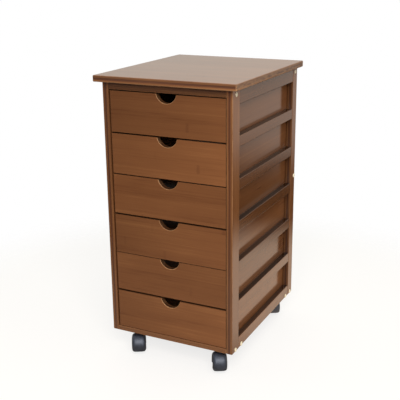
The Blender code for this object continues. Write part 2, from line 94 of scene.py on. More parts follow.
# Painted shade on the narrow faces of the rear stiles, which stand back in the shade of the bays.
REAR_EDGE_SHADE = 0.5
ANY_UPTAKE = (0.93, 1.07)

STAIN_DARK = (99, 57, 31)
STAIN_MIDDLE = (122, 76, 44)
STAIN_LIGHT = (140, 91, 54)
NODE_STAIN = (84, 46, 27)
PLY_OUTER_DARK = (104, 62, 35)
PLY_OUTER_LIGHT = (146, 96, 56)
PLY_CORE_DARK = (78, 44, 28)
PLY_CORE_LIGHT = (108, 66, 42)
TORN_END = (152, 108, 70)
RUBBED_STAIN = (190, 142, 98)

lay_out = random.Random(20)


def linear(colour):
    """Screen values from 0 to 255 as the linear colour that a shader takes."""
    shares = [value / 255 for value in colour]
    return tuple(s / 12.92 if s <= 0.04045 else ((s + 0.055) / 1.055) ** 2.4 for s in shares) + (1.0,)


def add_node(tree, kind, feeds=None, **settings):
    """Adds a node. Each feed goes to a socket by name or number, as a value or as another node's output."""
    made = tree.nodes.new("ShaderNode" + kind)
    for setting, value in settings.items():
        setattr(made, setting, value)
    for socket, feed in (feeds or {}).items():
        if isinstance(feed, bpy.types.NodeSocket):
            tree.links.new(feed, made.inputs[socket])
        else:
            made.inputs[socket].default_value = feed
    return made


def reckon(tree, operation, first, second=0.0, third=0.0):
    """The output of a node that works out one number from others."""
    return add_node(tree, "Math", {0: first, 1: second, 2: third}, operation=operation).outputs[0]


def fade(tree, value, start, end, low=0.0, high=1.0):
    """A number that goes smoothly from low to high as the value goes from start to end."""
    feeds = {"Value": value, "From Min": start, "From Max": end, "To Min": low, "To Max": high}
    return add_node(tree, "MapRange", feeds, interpolation_type="SMOOTHSTEP").outputs[0]


def tint(tree, share, first, second):
    """The first colour where the share is 0, and the second where it is 1."""
    return add_node(tree, "Mix", {0: share, 6: first, 7: second}, data_type="RGBA").outputs[2]


def scaled(tree, colour, share):
    """A colour made darker or lighter by a number."""
    return add_node(tree, "VectorMath", {0: colour, "Scale": share}, operation="SCALE").outputs[0]


def noise(tree, place, stretch, detail=2.0, roughness=0.5):
    """Noise from 0 to 1, with so many waves to the metre along each direction of the place."""
    stretched = add_node(tree, "VectorMath", {0: place, 1: stretch}, operation="MULTIPLY").outputs[0]
    feeds = {"Vector": stretched, "Scale": 1.0, "Detail": detail, "Roughness": roughness}
    return add_node(tree, "TexNoise", feeds).outputs[0]


def new_finish(name, roughness, metallic=0.0):
    """An empty finish: its node tree, and its shader with what is the same all over the surface."""
    finish = bpy.data.materials.new(name)
    finish.use_nodes = True
    shader = finish.node_tree.nodes["Principled BSDF"]
    shader.inputs["Roughness"].default_value = roughness
    shader.inputs["Metallic"].default_value = metallic
    return finish, finish.node_tree, shader


def raise_skin(tree, shader, height, relief, strength):
    """Gives a finish its fine relief, so many metres deep where the height is 1."""
    bump = add_node(tree, "Bump", {"Strength": strength, "Distance": relief, "Height": height})
    tree.links.new(bump.outputs[0], shader.inputs["Normal"])


def stained_bamboo(name, sheen, lacquer=0.5, edge_stain_and_shade=1.0, edge_sheen=0.10, plies=1.0):
    """Laminated bamboo under stain and lacquer. It reads the lay of the grain that a board is marked with.

    The sheen is how rough the lacquer dried, with the edge sheen added on the narrow faces. The edge stain
    is how light those faces came out, by their stain and, on the rails, rear stiles and drawer fronts, by
    painted shade as well; plies is how clearly the core shows in them. End grain is torn by the saw, and
    shows pale where it is.
    """
    finish, tree, shader = new_finish(name, sheen)
    shader.inputs["Specular IOR Level"].default_value = lacquer
    lay = add_node(tree, "Attribute", attribute_name="lay").outputs["Vector"]
    parts = add_node(tree, "SeparateXYZ", {0: lay})
    along, across, through = parts.outputs
    on_edge = add_node(tree, "Attribute", attribute_name="edge").outputs["Fac"]
    on_end = add_node(tree, "Attribute", attribute_name="end_grain").outputs["Fac"]
    worn = add_node(tree, "Attribute", attribute_name="wear").outputs["Fac"]
    uptake = add_node(tree, "Attribute", attribute_name="uptake").outputs["Fac"]

    strip = reckon(tree, "FLOOR", reckon(tree, "DIVIDE", across, STRIP_WIDTH))
    strip_chance = add_node(tree, "TexWhiteNoise", {"W": strip}, noise_dimensions="1D").outputs["Value"]
    fibres = noise(tree, lay, FIBRE_WAVES, **FIBROUS)
    streaks = noise(tree, lay, STREAK_WAVES, **FIBROUS)
    clouds = noise(tree, lay, CLOUD_WAVES)
    tone = reckon(tree, "MULTIPLY_ADD", strip_chance, STRIP_CONTRAST, -STRIP_CONTRAST / 2)
    contrasts = ((fibres, FIBRE_CONTRAST), (streaks, STREAK_CONTRAST), (clouds, CLOUD_CONTRAST))
    for texture, contrast in contrasts:
        tone = reckon(tree, "ADD", tone, reckon(tree, "MULTIPLY_ADD", texture, contrast, -contrast / 2))
    face = tint(tree, fade(tree, tone, -TONE_REACH, 0.0), linear(STAIN_DARK), linear(STAIN_MIDDLE))
    face = tint(tree, fade(tree, tone, 0.0, TONE_REACH), face, linear(STAIN_LIGHT))

    turn = reckon(tree, "MULTIPLY_ADD", strip, STRIP_SHIFT, reckon(tree, "DIVIDE", along, NODE_SPACING))
    cane = reckon(tree, "MULTIPLY_ADD", strip, CANE_CHANCES, reckon(tree, "FLOOR", turn))
    node_chance = add_node(tree, "TexWhiteNoise", {"W": cane}, noise_dimensions="1D").outputs["Value"]
    wander = noise(tree, lay, BEND_WAVES)
    from_node = reckon(tree, "ABSOLUTE", reckon(tree, "SUBTRACT", reckon(tree, "FRACT", turn), 0.5))
    from_node = reckon(tree, "MULTIPLY", from_node, NODE_SPACING)
    bend = reckon(tree, "MULTIPLY_ADD", wander, NODE_HALF, -NODE_HALF / 2)
    from_node = reckon(tree, "ADD", from_node, bend)
    knuckle = fade(tree, from_node, NODE_HALF, 0.0)
    shown = fade(tree, node_chance, *NODE_CHANCE, 0.0, NODE_STRENGTH)
    knuckle = reckon(tree, "MULTIPLY", knuckle, shown)
    face = tint(tree, knuckle, face, linear(NODE_STAIN))

    layer_tone = fade(tree, noise(tree, lay, LAYER_WAVES, **FIBROUS), *LAYER_FADE)
    outer = tint(tree, layer_tone, linear(PLY_OUTER_DARK), linear(PLY_OUTER_LIGHT))
    core = tint(tree, layer_tone, linear(PLY_CORE_DARK), linear(PLY_CORE_LIGHT))
    in_core = fade(tree, reckon(tree, "ABSOLUTE", through), *CORE_EDGE, 0.0, plies)
    narrow_face = tint(tree, in_core, outer, core)
    tears = noise(tree, lay, TEAR_WAVES, **FIBROUS)
    torn = reckon(tree, "MULTIPLY", on_end, fade(tree, tears, *TEAR_FADE, *TEAR_STRENGTH))
    narrow_face = tint(tree, torn, narrow_face, linear(TORN_END))
    # On the rails, the rear stiles and the drawer fronts this darkening of the narrow faces is partly
    # painted shade.
    narrow_face = scaled(tree, narrow_face, edge_stain_and_shade)

    colour = tint(tree, on_edge, face, narrow_face)
    # The board's uptakes scale the colour, and on many boards they carry painted light and shade as well.
    colour = scaled(tree, colour, uptake)
    patches = noise(tree, lay, PATCH_WAVES)
    # Rubbed arrises show paler stain; on the front right stile and the half moons' rims this is partly a
    # painted highlight.
    rubbed = reckon(tree, "MULTIPLY", worn, fade(tree, patches, *PATCH_FADE, *RUBBED_STRENGTH))
    colour = tint(tree, rubbed, colour, linear(RUBBED_STAIN))
    tree.links.new(colour, shader.inputs["Base Color"])

    gloss = reckon(tree, "MULTIPLY_ADD", streaks, STREAK_SHEEN, sheen - STREAK_SHEEN / 2)
    gloss = reckon(tree, "ADD", gloss, reckon(tree, "MULTIPLY", on_edge, edge_sheen))
    gloss = reckon(tree, "ADD", gloss, reckon(tree, "MULTIPLY", rubbed, RUBBED_SHEEN))
    tree.links.new(gloss, shader.inputs["Roughness"])
    relief = reckon(tree, "SUBTRACT", fibres, reckon(tree, "MULTIPLY", knuckle, NODE_RELIEF))
    raise_skin(tree, shader, relief, GRAIN_RELIEF, GRAIN_STRENGTH)
    return finish


def sawn_block(x, y, z):
    """A block between the given pairs of limits, before its arrises are rounded."""
    bm = bmesh.new()
    bmesh.ops.create_cube(bm, size=1)
    bmesh.ops.scale(bm, vec=[high - low for low, high in (x, y, z)], verts=bm.verts)
    bmesh.ops.translate(bm, vec=[(low + high) / 2 for low, high in (x, y, z)], verts=bm.verts)
    return bm


def round_arrises(bm, width, edges=None):
    """Rounds the arrises over, all of them unless some are given, and marks where a hand would rub them."""
    wear = bm.verts.layers.float.get("wear") or bm.verts.layers.float.new("wear")
    chosen = list(bm.edges) if edges is None else edges
    made = bmesh.ops.bevel(
        bm,
        geom=chosen,
        offset=width,
        segments=ROUNDING_STEPS,
        profile=ROUND_ARC,
        affect="EDGES",
        clamp_overlap=True,
    )
    rounded = set(made["faces"])
    for vert in bm.verts:
        if all(face in rounded for face in vert.link_faces):
            vert[wear] = 1.0


def extent(bm, axis):
    """The lowest and highest place of a mesh along an axis."""
    places = [vert.co[axis] for vert in bm.verts]
    return min(places), max(places)


def lay_grain(bm, grain, thickness, uptake=None, rubbed=(0.0, 0.0)):
    """Marks a board with its grain: metres along and across it, and its depth as a share of the thickness.

    Its uptakes are how the board took the stain at its two ends, where above 1 is lighter, and on many
    boards they also carry painted light and shade. Rubbed is how far its arrises are rubbed bare there,
    which on the front right stile and the drawer fronts is partly a painted highlight.
    """
    width = X + Y + Z - grain - thickness
    lay = bm.verts.layers.float_vector.new("lay")
    stain = bm.verts.layers.float.new("uptake")
    wear = bm.verts.layers.float["wear"]
    edge = bm.faces.layers.float.new("edge")
    end_grain = bm.faces.layers.float.new("end_grain")
    uptake = uptake or [lay_out.uniform(*ANY_UPTAKE)] * 2
    low, high = extent(bm, thickness)
    first, last = extent(bm, grain)
    start = lay_out.uniform(-CANE_REACH, CANE_REACH)
    offset = lay_out.uniform(-CANE_REACH, CANE_REACH)
    for vert in bm.verts:
        depth = (vert.co[thickness] - low) / (high - low) - 0.5
        run = (vert.co[grain] - first) / (last - first)
        vert[lay] = (vert.co[grain] + start, vert.co[width] + offset, depth)
        vert[stain] = uptake[0] + (uptake[1] - uptake[0]) * run
        vert[wear] *= rubbed[0] + (rubbed[1] - rubbed[0]) * run
    bm.normal_update()
    for face in bm.faces:
        face[edge] = 0.0 if abs(face.normal[thickness]) > LOOKS_ALONG else 1.0
        face[end_grain] = 1.0 if abs(face.normal[grain]) > LOOKS_ALONG else 0.0


def set_down(name, bm):
    """An object of the scene, made of a worked shape that is then given up."""
    mesh = bpy.data.meshes.new(name)
    bm.to_mesh(mesh)
    bm.free()
    shape = bpy.data.objects.new(name, mesh)
    bpy.context.scene.collection.objects.link(shape)
    return shape


def add_piece(name, bm, finish, body, node, corner=None):
    """A finished piece that moves with a body and stands for a node, with its flat faces shaded flat.

    A curved piece gives the angle, in degrees, from which two of its faces meet in a corner.
    """
    bmesh.ops.recalc_face_normals(bm, faces=bm.faces)
    piece = set_down(name, bm)
    piece.data.materials.append(finish)
    piece.data.shade_smooth()
    if corner is None:
        piece.modifiers.new("even shading", "WEIGHTED_NORMAL")
    else:
        piece.data.set_sharp_from_angle(angle=math.radians(corner))
    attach(piece, body)
    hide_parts(node)


def add_plank(
    name, node, x, y, z, grain, thickness, rounding, finish, body="case", slot="bamboo_case", **marks
):
    """A board with rounded arrises between the given pairs of limits."""
    bm = sawn_block(x, y, z)
    round_arrises(bm, rounding)
    lay_grain(bm, grain, thickness, **marks)
    add_piece(name, bm, finish, body, node)


def limits(node):
    """The pairs of limits of a node along X, Y and Z."""
    low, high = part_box(node)
    return list(zip(low, high))


case_finish = stained_bamboo("stained bamboo, case", CASE_SHEEN, CASE_LACQUER)
rear_finish = stained_bamboo("stained bamboo, rear stiles", CASE_SHEEN, CASE_LACQUER, REAR_EDGE_SHADE)
stiles = (
    ("stile_front_left", case_finish, (0.90, 0.82), (0.0, 0.0)),
    ("stile_front_right", case_finish, (0.85, 1.15), (0.1, 1.0)),
    ("stile_rear_left", rear_finish, (1.05, 1.05), (0.0, 0.0)),
    ("stile_rear_right", rear_finish, (1.05, 1.05), (0.0, 0.0)),
)  # each with how it took the stain, and how far it is rubbed, at its foot and at its head; the front right stile's darker foot is painted shade, and its rubbed arris is partly a painted highlight
for stile, finish, uptake, rubbed in stiles:
    add_plank(
        "wood_" + stile, stile, *limits(stile), Z, X, STILE_ROUNDING, finish, uptake=uptake, rubbed=rubbed
    )


# Side rails and runners
# Between the stiles of a side run seven rails of the same board, set back a hair from their outer faces.
# Six of them carry a solid bamboo runner inside, glued to the rail, on which a drawer slides.

RAIL_ROUNDING = 0.0010
RUNNER_ROUNDING = 0.0016
RUNNER_HEIGHT = 0.0140
LOWEST_DRAWER = "drawer_6"
RUNNER_UPTAKE = (0.60, 0.60)
RAIL_UPTAKE_AND_SHADE = {
    "top": (0.67, 0.70),
    "1": (0.77, 0.70),
    "2": (0.70, 0.62),
    "3": (0.66, 0.60),
    "4": (0.74, 0.70),
    "5": (0.95, 0.90),
    "bottom": (1.0, 0.90),
}  # at the front and at the rear end; they are partly painted shade, darkest on the upper rails
SIDES = (("left", -1), ("right", 1))
SHADE_DARKENED_RAILS = ("3", "5")  # the rails whose narrow faces carry the deepest painted shade
# Painted shade: the rails' narrow faces are darkened, their tops in the bays above all, to stand for the
# shade between each side frame and the drawers; two rails get it deeper still.
RAIL_EDGE_STAIN_AND_SHADE = 0.22
DEEPEST_RAIL_EDGE_SHADE = 0.10
RAIL_EDGE_SHEEN = -0.04
RUNNER_SHEEN = 0.30
RUNNER_EDGE_STAIN = 0.45

rail_finish = stained_bamboo(
    "stained bamboo, rails", CASE_SHEEN, CASE_LACQUER, RAIL_EDGE_STAIN_AND_SHADE, RAIL_EDGE_SHEEN
)
shaded_rail_finish = stained_bamboo(
    "stained bamboo, darkest shaded rails", CASE_SHEEN, CASE_LACQUER, DEEPEST_RAIL_EDGE_SHADE, RAIL_EDGE_SHEEN
)
runner_finish = stained_bamboo("stained bamboo, runners", RUNNER_SHEEN, edge_stain_and_shade=RUNNER_EDGE_STAIN)
stile_inner, case_side = limits("stile_front_right")[X]
rail_run = (limits("stile_front_right")[Y][1] + SEAM, limits("stile_rear_right")[Y][0] - SEAM)
drawer_floor = limits("bottom_board_front")[Z][1]


def add_rail(place, side, sign):
    """One side rail, with sign -1 for the left side, and its runner where it has one."""
    rail = f"side_rail_{place}_{side}"
    x, y, z = limits(rail)
    rail_x = (stile_inner, x[1]) if sign > 0 else (x[0], -stile_inner)
    finish = shaded_rail_finish if place in SHADE_DARKENED_RAILS else rail_finish
    uptake = RAIL_UPTAKE_AND_SHADE[place]
    add_plank("wood_" + rail, rail, rail_x, rail_run, z, Y, X, RAIL_ROUNDING, finish, uptake=uptake)
    if place == "top":
        return
    carried = LOWEST_DRAWER if place == "bottom" else f"drawer_{place}"
    top = limits(f"{carried}_side_{side}")[Z][0] - SEAM
    low = max(top - RUNNER_HEIGHT, drawer_floor + SEAM)
    runner_x = (x[0], stile_inner - SEAM) if sign > 0 else (-stile_inner + SEAM, x[1])
    bm = sawn_block(runner_x, y, (low, top))
    upper = [edge for edge in bm.edges if all(vert.co.z > low + SEAM for vert in edge.verts)]
    round_arrises(bm, RUNNER_ROUNDING, upper)
    lay_grain(bm, Y, Z, RUNNER_UPTAKE)
    add_piece(f"runner_{place}_{side}", bm, runner_finish, "case", rail)


for side, sign in SIDES:
    for place in RAIL_UPTAKE_AND_SHADE:
        add_rail(place, side, sign)


# Boards between the side frames
# A stretcher under the top panel at the front and at the rear, a slat half way up the rear, and two bottom
# boards that the casters are screwed to. All are the same stained board, bolted through the stiles.

BOARD_ROUNDING = 0.0010
BOARD_PLIES = 0.2

board_finish = stained_bamboo("stained bamboo, boards", CASE_SHEEN, CASE_LACQUER, plies=BOARD_PLIES)


def spare_upper_arrises(bm, share):
    """Leaves the arrises of a board's upper half rubbed by only a share of what its lower ones are."""
    wear = bm.verts.layers.float["wear"]
    low, high = extent(bm, Z)
    for vert in bm.verts:
        if vert.co.z > (low + high) / 2:
            vert[wear] *= share


boards = (
    # The front stretcher is stained dark as painted shade under the top panel's overhang.
    ("front_stretcher_top", Z, (0.60, 0.68), (0.0, 0.0)),
    ("rear_stretcher_top", Z, (0.95, 1.05), (0.0, 0.0)),
    ("rear_slat_middle", Y, (1.05, 0.95), (0.0, 0.0)),
    ("bottom_board_front", Z, (0.90, 0.92), (0.9, 0.9)),
    ("bottom_board_rear", Z, (1.0, 0.95), (0.3, 0.3)),
)  # each with how it took the stain, and how far it is rubbed, at its left and at its right end
for board, thickness, uptake, rubbed in boards:
    bm = sawn_block(*limits(board))
    round_arrises(bm, BOARD_ROUNDING)
    lay_grain(bm, X, thickness, uptake, rubbed)
    spare_upper_arrises(bm, 0.0)
    add_piece("wood_" + board, bm, board_finish, "case", board)


# Top panel
# One three-ply bamboo slab over the whole case, with its strips running from side to side and its edges
# eased. It overhangs the front and both sides, and its lower arris is rubbed the most.

TOP_ROUNDING = 0.0020
TOP_SHEEN = 0.30
TOP_EDGE_STAIN = 0.66
# Painted light: the top is stained lighter than the rest for the bright sheen of its face, and lighter
# towards its right end.
TOP_UPTAKE_AND_LIGHT = (1.20, 1.38)
TOP_RUBBED = (0.5, 1.0)
UPPER_ARRIS_RUBBED = 0.15
REAR_RUBBED = 0.3
LOWER_PLY_UPTAKE = 1.45

top_finish = stained_bamboo("stained bamboo, top", TOP_SHEEN, CASE_LACQUER, TOP_EDGE_STAIN)
bm = sawn_block(*limits("top_panel"))
round_arrises(bm, TOP_ROUNDING)
lay_grain(bm, X, Z, TOP_UPTAKE_AND_LIGHT, TOP_RUBBED)
spare_upper_arrises(bm, UPPER_ARRIS_RUBBED)
wear = bm.verts.layers.float["wear"]
stain = bm.verts.layers.float["uptake"]
low, high = extent(bm, Z)
front, rear = extent(bm, Y)
for vert in bm.verts:
    to_rear = (vert.co.y - front) / (rear - front)
    vert[wear] *= 1 + (REAR_RUBBED - 1) * to_rear
    if vert.co.z < (low + high) / 2:
        vert[stain] *= LOWER_PLY_UPTAKE + (1 - LOWER_PLY_UPTAKE) * to_rear
add_piece("wood_top_panel", bm, top_finish, "case", "top_panel")


# Connector bolts
# Nickel-plated furniture bolts with a low domed head and a hexagon socket. One or two go through each stile
# into the end of every board between the frames, and their heads stand a little proud of the side.

BOLT_RADIUS = 0.0049
BOLT_RISE = 0.0014
BOLT_RIM = 0.0005
SOCKET_RADIUS = 0.0018
SOCKET_DEPTH = 0.0010
BOLT_STEPS = 48
SOCKET_SIDES = 6
DOME_SHARES = ((0.93, 0.62), (0.78, 0.86))  # of the bolt's radius and rise, from its rim to its crown
LIP_SHARE = 1.25  # of the socket's radius
SOCKET_TAPER_SHARE = 0.94
WELD_REACH = SEAM / 100
NICKEL_DARK = (240, 222, 186)
NICKEL_LIGHT = (255, 244, 216)
NICKEL_METAL = 0.15
NICKEL_SHEEN = 0.30
CLOUDED_SHEEN = (0.22, 0.38)
CLOUDING_FADE = (0.3, 0.7)
CLOUDING_WAVES = (400.0, 400.0, 400.0)
BOLT_UNDER_STRETCHER = 0.0030
BOTTOM_BOLT_SPREAD = 0.016
BOTTOM_BOLT_DROP = 0.0014


def nickel_plate():
    """Pale satin nickel with the faint clouding of tumbled hardware under a clear lacquer."""
    finish, tree, shader = new_finish("nickel plate", NICKEL_SHEEN, NICKEL_METAL)
    place = add_node(tree, "TexCoord").outputs["Object"]
    clouding = noise(tree, place, CLOUDING_WAVES, detail=3.0)
    colour = tint(tree, clouding, linear(NICKEL_DARK), linear(NICKEL_LIGHT))
    tree.links.new(colour, shader.inputs["Base Color"])
    sheen = fade(tree, clouding, *CLOUDING_FADE, *CLOUDED_SHEEN)
    tree.links.new(sheen, shader.inputs["Roughness"])
    return finish


def turned(profile, steps):
    """A shape turned about Z from (radius, height) points."""
    bm = bmesh.new()
    points = [bm.verts.new((radius, 0, height)) for radius, height in profile]
    edges = [bm.edges.new(pair) for pair in zip(points, points[1:])]
    bmesh.ops.spin(
        bm, geom=points + edges, cent=(0, 0, 0), axis=(0, 0, 1), angle=math.tau, steps=steps, use_merge=True
    )
    bmesh.ops.remove_doubles(bm, verts=bm.verts, dist=WELD_REACH)
    bmesh.ops.recalc_face_normals(bm, faces=bm.faces)
    return bm


def bolt_head():
    """A low dome whose hexagon socket is pressed into its crown."""
    bm = turned(
        [
            (0, -SEAM),
            (BOLT_RADIUS - BOLT_RIM, -SEAM),
            (BOLT_RADIUS, 0),
            (BOLT_RADIUS, BOLT_RIM),
            *[(BOLT_RADIUS * across, BOLT_RISE * up) for across, up in DOME_SHARES],
            (SOCKET_RADIUS * LIP_SHARE, BOLT_RISE),
            (SOCKET_RADIUS, BOLT_RISE),
            (SOCKET_RADIUS * SOCKET_TAPER_SHARE, BOLT_RISE - SOCKET_DEPTH),
            (0, BOLT_RISE - SOCKET_DEPTH),
        ],
        BOLT_STEPS,
    )
    flat = math.tau / SOCKET_SIDES
    for vert in bm.verts:
        radius = vert.co.xy.length
        if 0 < radius < SOCKET_RADIUS + SEAM and vert.co.z > 0:
            turn = math.atan2(vert.co.y, vert.co.x) % flat - flat / 2
            vert.co.xy = vert.co.xy * (math.cos(flat / 2) / math.cos(turn))
    return bm


def middle(node):
    """The middle of a node along X, Y and Z."""
    return [sum(pair) / 2 for pair in limits(node)]


nickel = nickel_plate()
front_board = middle("front_stretcher_top")
rear_board = middle("rear_stretcher_top")
slat = middle("rear_slat_middle")
bolt_places = {
    "stretcher_front": (front_board[Y], front_board[Z] - BOLT_UNDER_STRETCHER),
    "stretcher_rear": (rear_board[Y], rear_board[Z] - BOLT_UNDER_STRETCHER),
    "slat": (slat[Y], slat[Z]),
}
for end in ("front", "rear"):
    bottom = middle("bottom_board_" + end)
    height = bottom[Z] - BOTTOM_BOLT_DROP
    for place, sign in (("a", -1), ("b", 1)):
        bolt_places[f"bottom_{end}_{place}"] = (bottom[Y] + sign * BOTTOM_BOLT_SPREAD, height)

for side, sign in SIDES:
    for place, (y, z) in bolt_places.items():
        bm = bolt_head()
        facing_out = Matrix.Rotation(sign * math.radians(90), 4, "Y")
        bm.transform(Matrix.Translation((sign * case_side, y, z)) @ facing_out)
        end = "front" if y < 0 else "rear"
        add_piece(f"bolt_{place}_{side}", bm, nickel, "case", f"stile_{end}_{side}")


# Drawers
# Each drawer is a thick front with a half-moon cut-out in its top edge, two thinner sides, a low back, and
# a thin bottom panel let into grooves. The fronts were trimmed by hand, so the gaps differ a little.

FRONT_ROUNDING = 0.0006
FINGER_ROUNDING = 0.0012
SQUARE_ENOUGH = 60
SIDE_ROUNDING = 0.0010
PANEL_ROUNDING = 0.0004
FINGER_WIDTH = 0.0490
FINGER_DEPTH = 0.0206
FINGER_STEPS = 40
BACK_THICKNESS = 0.0080
PANEL_THICKNESS = 0.0040
PANEL_RISE = 0.0060
GROOVE_DEPTH = 0.0038
GAPS = (0.0021, 0.0034, 0.0024, 0.0038, 0.0014, 0.0042, 0.0011)  # from the top down
SET_OVER = 0.0018  # every drawer stands this far to the right of the middle of its opening
DRAWERS = len(GAPS) - 1
# Painted light: each front is darker to the left and lighter to the right, as light falling from the right,
# on top of the board's own tone.
FRONT_UPTAKE_AND_LIGHT = ((0.80, 1.05), (0.94, 1.24), (0.98, 1.02), (0.84, 1.08), (0.93, 0.94), (0.88, 1.10))
# The drawer sides' tones are partly the boards' own and partly painted light and shade, lighter on the lower
# drawers.
SIDE_UPTAKE_AND_LIGHT = ((0.85, 1.05), (0.85, 0.95), (0.80, 0.94), (0.94, 1.04), (1.08, 0.86), (1.10, 1.10))
FRONT_SHEEN = 0.42
FRONT_LACQUER = 0.2
# The fronts' narrow faces are darkened partly by stain and partly as painted shade in the gaps between the
# drawers and in the half moon's wall.
FRONT_EDGE_STAIN_AND_SHADE = 0.42
BOX_SHEEN = 0.14
BOX_EDGE_STAIN = 0.6

front_finish = stained_bamboo("stained bamboo, drawer fronts", FRONT_SHEEN, FRONT_LACQUER, FRONT_EDGE_STAIN_AND_SHADE)
box_finish = stained_bamboo("stained bamboo, drawer boxes", BOX_SHEEN, CASE_LACQUER, BOX_EDGE_STAIN)


def set_over(node):
    """The limits of a part of a drawer, which stands to one side in the play between its rails."""
    x, y, z = limits(node)
    return (x[0] + SET_OVER, x[1] + SET_OVER), y, z


def front_board_bm(x, y, z):
    """A drawer front: its outline with the half moon cut out, whose front rim is rounded over the widest."""
    half = FINGER_WIDTH / 2
    middle = (x[0] + x[1]) / 2
    rim_radius = (half ** 2 + FINGER_DEPTH ** 2) / (2 * FINGER_DEPTH)
    radius = rim_radius - FINGER_ROUNDING
    centre = z[1] - FINGER_DEPTH + rim_radius
    spread = math.acos((centre - z[1]) / radius)
    outline = [(x[0], z[1]), (x[0], z[0]), (x[1], z[0]), (x[1], z[1])]
    for step in range(FINGER_STEPS + 1):
        angle = spread * (1 - 2 * step / FINGER_STEPS)
        outline.append((middle + radius * math.sin(angle), centre - radius * math.cos(angle)))
    bm = bmesh.new()
    face = bm.faces.new([bm.verts.new((px, y[0], pz)) for px, pz in outline])
    grown = bmesh.ops.extrude_face_region(bm, geom=[face])["geom"]
    rear_verts = [part for part in grown if isinstance(part, bmesh.types.BMVert)]
    bmesh.ops.translate(bm, vec=(0, y[1] - y[0], 0), verts=rear_verts)
    bmesh.ops.recalc_face_normals(bm, faces=bm.faces)

    def at_rim(vert):
        from_centre = math.hypot(vert.co.x - middle, vert.co.z - centre)
        return from_centre < rim_radius + SEAM and vert.co.y < y[0] + FINGER_ROUNDING + SEAM

    rim = [edge for edge in bm.edges if all(at_rim(vert) for vert in edge.verts)]
    round_arrises(bm, FINGER_ROUNDING, rim)
    square = [edge for edge in bm.edges if edge.calc_face_angle(0) > math.radians(SQUARE_ENOUGH)]
    others = [edge for edge in square if not all(at_rim(vert) for vert in edge.verts)]
    round_arrises(bm, FRONT_ROUNDING, others)
    # The half moon's rim is left pale: rubbed stain, and in part a painted highlight where light catches its
    # rounding.
    wear = bm.verts.layers.float["wear"]
    for vert in bm.verts:
        if not at_rim(vert):
            vert[wear] = 0.0
    return bm


def add_drawer(number):
    """The five boards of one drawer, on its own sliding body."""
    body = f"drawer_{number}"
    x, y, z = set_over(f"{body}_front")
    gap = limits("front_stretcher_top")[Z][0] - limits("drawer_1_front")[Z][1]
    z = (z[0] - gap / 2 + GAPS[number] / 2, z[1] + gap / 2 - GAPS[number - 1] / 2)
    bm = front_board_bm(x, y, z)
    lay_grain(bm, X, Y, FRONT_UPTAKE_AND_LIGHT[number - 1], rubbed=(1.0, 1.0))
    add_piece(f"wood_{body}_front", bm, front_finish, body, f"{body}_front")
    box = (box_finish, body, "bamboo_drawer_box")
    for side in ("left", "right"):
        node = f"{body}_side_{side}"
        add_plank(
            "wood_" + node, node, *set_over(node), Y, X, SIDE_ROUNDING, *box, uptake=SIDE_UPTAKE_AND_LIGHT[number - 1]
        )
    tray = f"{body}_tray"
    left_x = set_over(f"{body}_side_left")[X]
    right_x = set_over(f"{body}_side_right")[X]
    panel_low = limits(f"{body}_side_right")[Z][0] + PANEL_RISE
    tray_y = limits(tray)[Y]
    inner = (left_x[1] + SEAM, right_x[0] - SEAM)
    panel_z = (panel_low, panel_low + PANEL_THICKNESS)
    grooves = (inner[0] - GROOVE_DEPTH, inner[1] + GROOVE_DEPTH)
    panel_y = (y[1] - GROOVE_DEPTH, tray_y[1] - BACK_THICKNESS - SEAM)
    add_plank(f"wood_{body}_bottom", tray, grooves, panel_y, panel_z, X, Z, PANEL_ROUNDING, *box)
    back_y = (tray_y[1] - BACK_THICKNESS, tray_y[1])
    back_z = (panel_z[0], limits(tray)[Z][1])
    add_plank(f"wood_{body}_back", tray, inner, back_y, back_z, X, Y, SIDE_ROUNDING, *box)


for number in range(1, DRAWERS + 1):
    add_drawer(number)


# Caster plates
# A square plate of zinc-plated steel under each corner, screwed up into the bottom board by four pan-head
# screws. It is pressed with rounded corners, and with a round race below in which the caster's stem turns.

CORNERS = ("front_left", "front_right", "rear_left", "rear_right")
PLATE_THICKNESS = 0.0020
PLATE_CORNER = 0.0050
PLATE_CORNER_STEPS = 8
PLATE_EASING = 0.0004
PLATE_EASING_STEPS = 2
RACE_RADIUS = 0.0110
RACE_HEIGHT = 0.0022
STEM_RADIUS = 0.0040
STEM_CLEARANCE = 0.0003
SCREW_INSET = 0.0060
SCREW_SHANK_RADIUS = 0.0019
SCREW_HEAD_RADIUS = 0.0034
SCREW_HEAD_HEIGHT = 0.0016
SCREW_SEAT = SEAM / 10
PAN_SHARES = ((0.55, 0.0), (0.86, 0.22), (1.0, 0.60))  # of the head's radius and height, from its crown
RECESS_WIDTH = 0.0009
RECESS_LENGTH = 0.0036
RECESS_DEPTH = 0.0009
CUT_OVERRUN = 0.0010
CASTER_STEPS = 96
BORE_STEPS = 40
CORNER_ANGLE = 34
ZINC_DARK = (132, 134, 136)
ZINC_LIGHT = (184, 186, 187)
ZINC_SHEEN = 0.36
SPANGLES = 420.0  # to the metre
SPANGLE_SHEEN = (0.30, 0.46)


def zinc_plate():
    """Bright zinc over pressed steel, with its faint spangle."""
    finish, tree, shader = new_finish("zinc plate", ZINC_SHEEN, metallic=1.0)
    place = add_node(tree, "TexCoord").outputs["Object"]
    spangle = add_node(tree, "TexVoronoi", {"Vector": place, "Scale": SPANGLES}).outputs["Color"]
    grey = add_node(tree, "SeparateXYZ", {0: spangle}).outputs[0]
    tree.links.new(tint(tree, grey, linear(ZINC_DARK), linear(ZINC_LIGHT)), shader.inputs["Base Color"])
    tree.links.new(fade(tree, grey, 0.0, 1.0, *SPANGLE_SHEEN), shader.inputs["Roughness"])
    return finish


